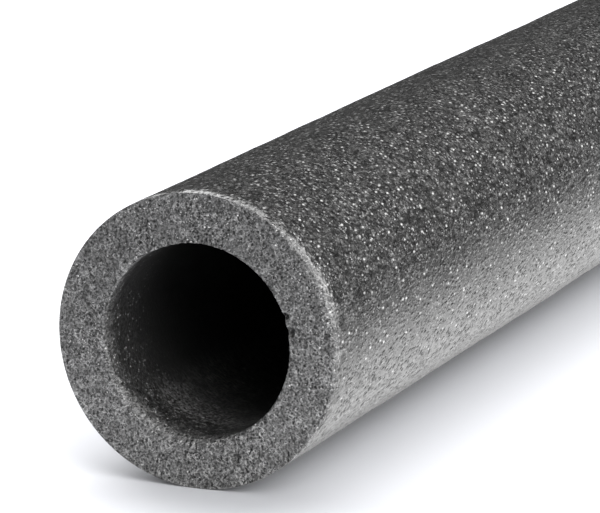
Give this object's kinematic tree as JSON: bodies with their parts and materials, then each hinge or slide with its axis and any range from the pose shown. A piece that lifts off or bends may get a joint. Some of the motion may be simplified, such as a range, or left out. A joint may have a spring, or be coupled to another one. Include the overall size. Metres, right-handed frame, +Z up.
{
  "type": "foam pipe insulation tube",
  "caption": "Straight round tube of grey closed-cell foam, cut square at both ends, that slides over a heating or water pipe as lagging.",
  "frame": {"origin": "on the bore's axis, at mid-length", "axes": "+X along the bore, from the end that the picture shows to the far end; +Z up, with the tube lying on its side"},
  "size_m": [1, 0.053, 0.053],
  "materials": {
    "foam": "matte, with cut foam cells on the ends and a closed extruded skin"
  },
  "bodies": {
    "root": {"foam_tube": "foam"}
  },
  "joints": []
}
